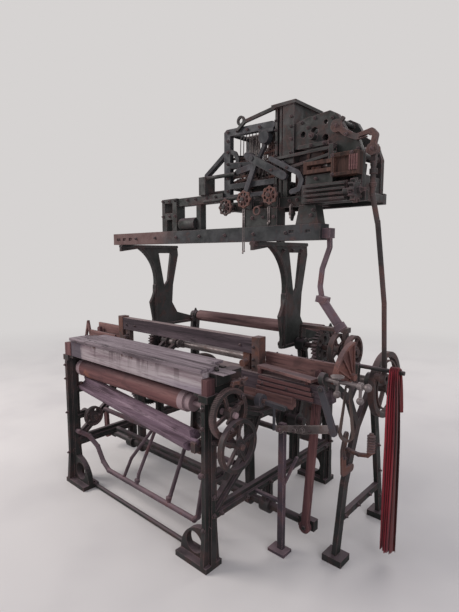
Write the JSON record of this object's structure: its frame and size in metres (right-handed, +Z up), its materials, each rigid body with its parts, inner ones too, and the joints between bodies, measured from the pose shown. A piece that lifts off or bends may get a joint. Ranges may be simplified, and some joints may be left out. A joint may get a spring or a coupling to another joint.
{
  "type": "power loom",
  "caption": "Old power loom: iron side frames, breast and rollers, swinging sley, crank and wheels, and a shedding head on a gantry.",
  "frame": {"origin": "on the floor, in the middle of the four foot bolts of the side frames", "axes": "+X along the loom's width towards the driving side, +Y from the weaver's side to the back, +Z up"},
  "size_m": [2.1403, 1.2008, 1.954],
  "materials": {
    "iron_dark": "dark, dusty, oily cast iron with rust in the corners",
    "iron_slate": "slate-grey cast iron, dusty on top",
    "iron_rust": "rusted iron with pinkish brown highlights",
    "steel_worn": "worn bright steel with spots of rust",
    "wood_pale": "weathered pale timber, streaked",
    "wood_grey": "dry grey timber with dark seams",
    "wood_red": "reddish brown timber, dirty",
    "wood_brown": "warm brown timber",
    "leather": "dry dark leather",
    "red_fabric": "red cloth, faded and dusty"
  },
  "bodies": {
    "root": {"frame_right": "iron_dark", "frame_left": "iron_dark", "front_rail": "iron_rust", "cross_ties": "iron_dark", "frame_brackets": "iron_rust", "breast_board": "wood_pale", "top_planks": "wood_grey", "end_blocks": "wood_red", "cloth_roller": "wood_pale", "outrigger_stand": "iron_rust", "fan_plate": "wood_brown", "floor_post": "iron_slate", "spring_arm": "iron_rust", "leather_loop": "leather", "red_cloth": "red_fabric", "gallows_brackets": "iron_dark", "gantry_beam": "iron_slate", "wrapped_tube": "iron_rust", "head_base": "iron_dark", "head_frame": "iron_slate", "head_tower": "iron_dark", "hook_bank": "iron_rust", "head_casting": "iron_dark", "lag_box": "wood_red", "rib_block": "iron_dark"},
    "sley": {"rocker_shaft": "iron_dark", "sley_swords": "iron_dark", "lay_beam": "wood_grey", "hand_rail": "wood_grey", "rail_posts": "iron_rust", "right_box": "wood_brown", "right_box_laths": "wood_red", "left_box": "wood_brown"},
    "stick_right": {"picking_stick_right": "wood_red"},
    "stick_left": {"picking_stick_left": "wood_red"},
    "crank": {"crankshaft": "steel_worn", "side_gears_crank": "iron_dark", "drive_wheel": "iron_rust"},
    "crank_arm_pair": {"crank_arms": "iron_rust"},
    "bottom": {"bottom_shaft": "iron_dark", "bottom_gear": "iron_dark"},
    "counter": {"counter_shaft": "iron_rust", "counter_gear": "iron_dark"},
    "stud": {"stud_wheel": "iron_dark"},
    "take_up": {"take_up_roller": "wood_red", "take_up_wheel": "iron_rust"},
    "pawl": {"take_up_pawl": "iron_rust"},
    "guide": {"guide_pulley": "iron_rust"},
    "warp": {"warp_beam": "iron_rust"},
    "rest_roller": {"back_rest": "wood_red"},
    "link": {"link_lever": "iron_slate"},
    "treadle_bar": {"steel_bar": "steel_worn"},
    "feeler": {"feeler_arm": "iron_slate"},
    "slide_rod": {"knob_rod": "steel_worn"},
    "goose": {"gooseneck": "iron_dark"},
    "long_rod": {"connecting_rod": "iron_rust"},
    "star_a": {"star_wheel_a": "iron_rust"},
    "star_b": {"star_wheel_b": "iron_rust"},
    "star_c": {"star_wheel_c": "iron_rust"},
    "swing": {"swing_arm": "iron_slate"}
  },
  "joints": [
    {"name": "sley_swing", "type": "hinge", "parent": "root", "child": "sley", "pos_m": [0, -0.11, 0.105], "axis": [1, 0, 0], "range_deg": [-9, 0.2]},
    {"name": "pick_right", "type": "hinge", "parent": "sley", "child": "stick_right", "pos_m": [0.79, -0.145, 0.105], "axis": [0, 1, 0], "range_deg": [-4.5, 2.5]},
    {"name": "pick_left", "type": "hinge", "parent": "sley", "child": "stick_left", "pos_m": [-0.79, -0.145, 0.105], "axis": [0, 1, 0], "range_deg": [-2.5, 4.5]},
    {"name": "crank_spin", "type": "hinge", "parent": "root", "child": "crank", "pos_m": [0, 0.2, 0.727], "axis": [1, 0, 0], "continuous": true},
    {"name": "crank_arm_turn", "type": "hinge", "parent": "crank", "child": "crank_arm_pair", "pos_m": [0, 0.16136, 0.73735], "axis": [1, 0, 0], "continuous": true},
    {"name": "bottom_spin", "type": "hinge", "parent": "root", "child": "bottom", "pos_m": [0, 0.12, 0.46912], "axis": [1, 0, 0], "continuous": true},
    {"name": "counter_spin", "type": "hinge", "parent": "root", "child": "counter", "pos_m": [0.667, 0.175, 0.85967], "axis": [1, 0, 0], "continuous": true},
    {"name": "stud_spin", "type": "hinge", "parent": "root", "child": "stud", "pos_m": [0.662, -0.46, 0.5531], "axis": [1, 0, 0], "continuous": true},
    {"name": "take_up_spin", "type": "hinge", "parent": "root", "child": "take_up", "pos_m": [0, -0.465, 0.678], "axis": [1, 0, 0], "continuous": true},
    {"name": "pawl_lift", "type": "hinge", "parent": "root", "child": "pawl", "pos_m": [0.62, -0.395, 0.795], "axis": [1, 0, 0], "range_deg": [-25, 0]},
    {"name": "guide_spin", "type": "hinge", "parent": "root", "child": "guide", "pos_m": [-0.47, -0.435, 0.387], "axis": [1, 0, 0], "continuous": true},
    {"name": "warp_spin", "type": "hinge", "parent": "root", "child": "warp", "pos_m": [0, 0.43, 0.43], "axis": [1, 0, 0], "continuous": true},
    {"name": "back_rest_spin", "type": "hinge", "parent": "root", "child": "rest_roller", "pos_m": [0, 0.47, 0.883], "axis": [1, 0, 0], "continuous": true},
    {"name": "link_swing", "type": "hinge", "parent": "root", "child": "link", "pos_m": [0.93, -0.277, 0.8], "axis": [0, 1, 0], "range_deg": [-4, 4]},
    {"name": "treadle_tilt", "type": "hinge", "parent": "root", "child": "treadle_bar", "pos_m": [0.722, -0.25, 0.574], "axis": [0, 1, 0], "range_deg": [-3, 3]},
    {"name": "feeler_tilt", "type": "hinge", "parent": "root", "child": "feeler", "pos_m": [0.69, -0.35, 0.722], "axis": [1, 0, 0], "range_deg": [-8, 8]},
    {"name": "knob_rod_slide", "type": "slide", "parent": "root", "child": "slide_rod", "axis": [1, 0, 0], "range_m": [-0.015, 0.015]},
    {"name": "gooseneck_swing", "type": "hinge", "parent": "root", "child": "goose", "pos_m": [0.905, -0.14, 1.812], "axis": [0, 1, 0], "range_deg": [-4, 4]},
    {"name": "long_rod_swing", "type": "hinge", "parent": "goose", "child": "long_rod", "pos_m": [1.052, -0.163, 1.704], "axis": [0, 1, 0], "range_deg": [-4.5, 4.5]},
    {"name": "star_a_spin", "type": "hinge", "parent": "root", "child": "star_a", "pos_m": [0.472, -0.202, 1.567], "axis": [0, 1, 0], "continuous": true},
    {"name": "star_b_spin", "type": "hinge", "parent": "root", "child": "star_b", "pos_m": [0.616, -0.202, 1.573], "axis": [0, 1, 0], "continuous": true},
    {"name": "star_c_spin", "type": "hinge", "parent": "root", "child": "star_c", "pos_m": [0.36, -0.202, 1.54], "axis": [0, 1, 0], "continuous": true},
    {"name": "swing_arm_swing", "type": "hinge", "parent": "root", "child": "swing", "pos_m": [0.5, -0.178, 1.744], "axis": [0, 1, 0], "range_deg": [-1, 5]}
  ],
  "couplings": [
    {"joint": "crank_arm_turn", "follows": "crank_spin", "ratio": -1},
    {"joint": "bottom_spin", "follows": "crank_spin", "ratio": -0.5},
    {"joint": "counter_spin", "follows": "crank_spin", "ratio": -0.73077},
    {"joint": "stud_spin", "follows": "take_up_spin", "ratio": -5.25},
    {"joint": "long_rod_swing", "follows": "gooseneck_swing", "ratio": -1.118}
  ]
}
